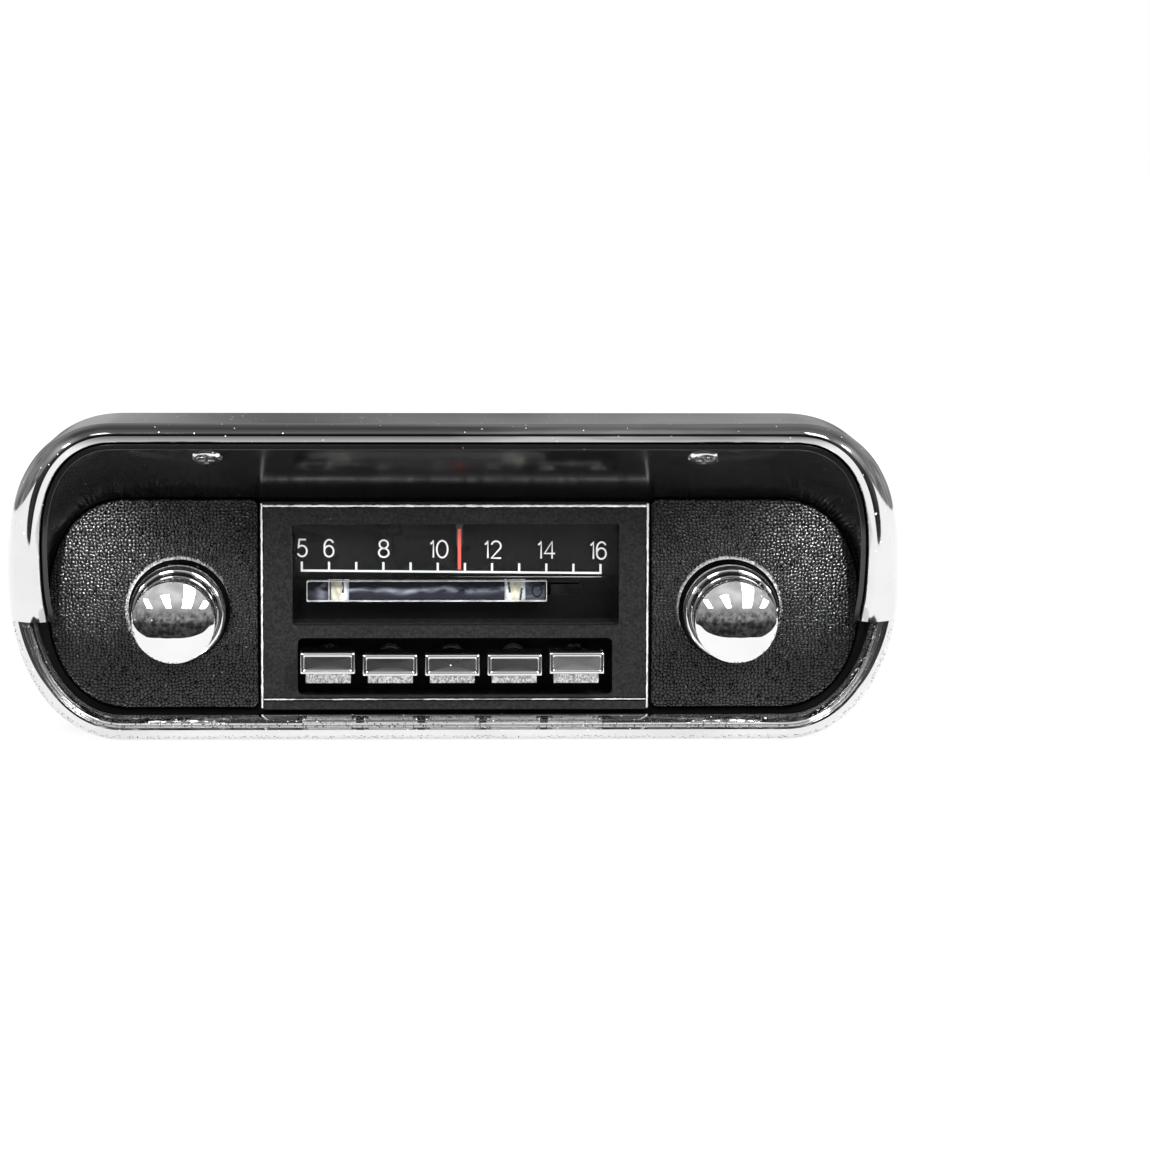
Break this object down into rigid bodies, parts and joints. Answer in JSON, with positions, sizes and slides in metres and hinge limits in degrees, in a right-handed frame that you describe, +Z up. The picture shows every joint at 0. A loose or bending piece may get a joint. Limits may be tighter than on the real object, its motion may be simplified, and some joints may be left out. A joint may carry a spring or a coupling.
{
  "type": "car radio",
  "caption": "In-dash push-button car radio: chromed hooded surround, grained face, dial with red needle, domed knobs, clear band slider and steel case with tuner.",
  "frame": {"origin": "middle of the footprint of the whole object, on the surface it stands on", "axes": "+X to the right seen from the front, +Y back into the dashboard along the control shafts, +Z up"},
  "size_m": [0.232, 0.175, 0.0844],
  "materials": {
    "chrome_casting": "mirror-bright plating with fine scratches",
    "liner_gloss": "deep gloss black",
    "screw_chrome": "bright",
    "black_steel": "matt black",
    "grained_vinyl": "pebble grain, semi-gloss",
    "centre_plastic": "fine leather grain, matt",
    "trim_chrome": "worn bright edge",
    "dial_black": "satin black",
    "clear_plastic": "clear, polished",
    "lamp_glass": "clear",
    "red_plastic": "satin red",
    "black_plastic": "matt",
    "button_chrome": "bright, dished face",
    "knob_chrome": "mirror-bright",
    "slide_steel": "zinc plated, dull",
    "bright_steel": "plain",
    "case_steel": "zinc plated",
    "spring_steel": "drawn wire",
    "brass": "machined",
    "insulator": "laminated",
    "cord_fabric": "woven",
    "ferrite": "sintered",
    "board": "laminated board with parts",
    "aluminium": "extruded",
    "connector": "moulded"
  },
  "bodies": {
    "chassis": {"hood": "chrome_casting", "lower_rim": "chrome_casting", "hood_liner": "liner_gloss", "liner_screws": "screw_chrome", "bezel_carrier": "black_steel", "left_side_panel": "grained_vinyl", "right_side_panel": "grained_vinyl", "centre_panel": "centre_plastic", "centre_trim": "trim_chrome", "dial_plate": "dial_black", "dial_lens": "clear_plastic", "lamp_holder": "bright_steel", "dial_lamp": "lamp_glass", "pointer_rail": "bright_steel", "dial_cord": "cord_fabric", "cord_guides": "brass", "preset_spring_1": "spring_steel", "preset_spring_2": "spring_steel", "preset_spring_3": "spring_steel", "preset_spring_4": "spring_steel", "preset_spring_5": "spring_steel", "volume_control": "case_steel", "fader_control": "case_steel", "shaft_bushings": "brass", "shaft_nuts": "bright_steel", "tuner_frame": "case_steel", "coil_block": "insulator", "gear_bracket": "case_steel", "case": "case_steel", "top_cover": "case_steel", "cover_screws": "screw_chrome", "circuit_board": "board", "heat_sink": "aluminium", "rear_connectors": "connector"},
    "volume": {"volume_knob": "knob_chrome", "volume_shaft": "bright_steel"},
    "tone": {"tone_ring": "knob_chrome", "tone_sleeve": "brass"},
    "tuning": {"tuning_knob": "knob_chrome", "tuning_shaft": "bright_steel"},
    "fader": {"fader_ring": "knob_chrome", "fader_sleeve": "brass"},
    "needle": {"pointer": "red_plastic", "pointer_carriage": "black_plastic"},
    "cores": {"core_carriage": "ferrite"},
    "gear": {"drive_gear": "brass"},
    "treadle": {"treadle": "bright_steel"},
    "band": {"band_bar": "clear_plastic", "band_studs": "button_chrome", "band_slider": "bright_steel"},
    "preset_1": {"preset_button_1": "button_chrome", "preset_slide_1": "slide_steel"},
    "preset_2": {"preset_button_2": "button_chrome", "preset_slide_2": "slide_steel"},
    "preset_3": {"preset_button_3": "button_chrome", "preset_slide_3": "slide_steel"},
    "preset_4": {"preset_button_4": "button_chrome", "preset_slide_4": "slide_steel"},
    "preset_5": {"preset_button_5": "button_chrome", "preset_slide_5": "slide_steel"}
  },
  "joints": [
    {"name": "volume_turn", "type": "hinge", "parent": "chassis", "child": "volume", "pos_m": [-0.0715, -0.0565, 0.0339], "axis": [0, 1, 0], "range_deg": [-150, 150]},
    {"name": "tone_turn", "type": "hinge", "parent": "chassis", "child": "tone", "pos_m": [-0.0715, -0.0565, 0.0339], "axis": [0, 1, 0], "range_deg": [-135, 135]},
    {"name": "fader_turn", "type": "hinge", "parent": "chassis", "child": "fader", "pos_m": [0.0715, -0.0565, 0.0339], "axis": [0, 1, 0], "range_deg": [-135, 135]},
    {"name": "tuning_turn", "type": "hinge", "parent": "chassis", "child": "tuning", "pos_m": [0.0715, -0.0565, 0.0339], "axis": [0, 1, 0], "range_deg": [-735, 660]},
    {"name": "needle_slide", "type": "slide", "parent": "chassis", "child": "needle", "axis": [1, 0, 0], "range_m": [-0.0411, 0.0369]},
    {"name": "core_slide", "type": "slide", "parent": "chassis", "child": "cores", "axis": [1, 0, 0], "range_m": [-0.0129, 0.0116]},
    {"name": "gear_turn", "type": "hinge", "parent": "chassis", "child": "gear", "pos_m": [0.0547, -0.0165, 0.0339], "axis": [0, 1, 0], "range_deg": [-222, 247]},
    {"name": "treadle_rock", "type": "hinge", "parent": "chassis", "child": "treadle", "pos_m": [0, -0.0305, 0.0329], "axis": [1, 0, 0], "range_deg": [-27, 25]},
    {"name": "band_slide", "type": "slide", "parent": "chassis", "child": "band", "axis": [1, 0, 0], "range_m": [0, 0.015]},
    {"name": "preset_1_push", "type": "slide", "parent": "chassis", "child": "preset_1", "axis": [0, 1, 0], "range_m": [0, 0.008], "stiffness_N_per_m": 300, "springref_m": -0.004, "deforming": ["preset_spring_1"]},
    {"name": "preset_2_push", "type": "slide", "parent": "chassis", "child": "preset_2", "axis": [0, 1, 0], "range_m": [0, 0.008], "stiffness_N_per_m": 300, "springref_m": -0.004, "deforming": ["preset_spring_2"]},
    {"name": "preset_3_push", "type": "slide", "parent": "chassis", "child": "preset_3", "axis": [0, 1, 0], "range_m": [0, 0.008], "stiffness_N_per_m": 300, "springref_m": -0.004, "deforming": ["preset_spring_3"]},
    {"name": "preset_4_push", "type": "slide", "parent": "chassis", "child": "preset_4", "axis": [0, 1, 0], "range_m": [0, 0.008], "stiffness_N_per_m": 300, "springref_m": -0.004, "deforming": ["preset_spring_4"]},
    {"name": "preset_5_push", "type": "slide", "parent": "chassis", "child": "preset_5", "axis": [0, 1, 0], "range_m": [0, 0.008], "stiffness_N_per_m": 300, "springref_m": -0.004, "deforming": ["preset_spring_5"]}
  ],
  "couplings": [
    {"joint": "needle_slide", "follows": "tuning_turn", "m_per_rad": 0.0032},
    {"joint": "core_slide", "follows": "tuning_turn", "m_per_rad": 0.001},
    {"joint": "gear_turn", "follows": "tuning_turn", "ratio": -0.33333},
    {"joint": "treadle_rock", "follows": "tuning_turn", "ratio": 0.035}
  ]
}
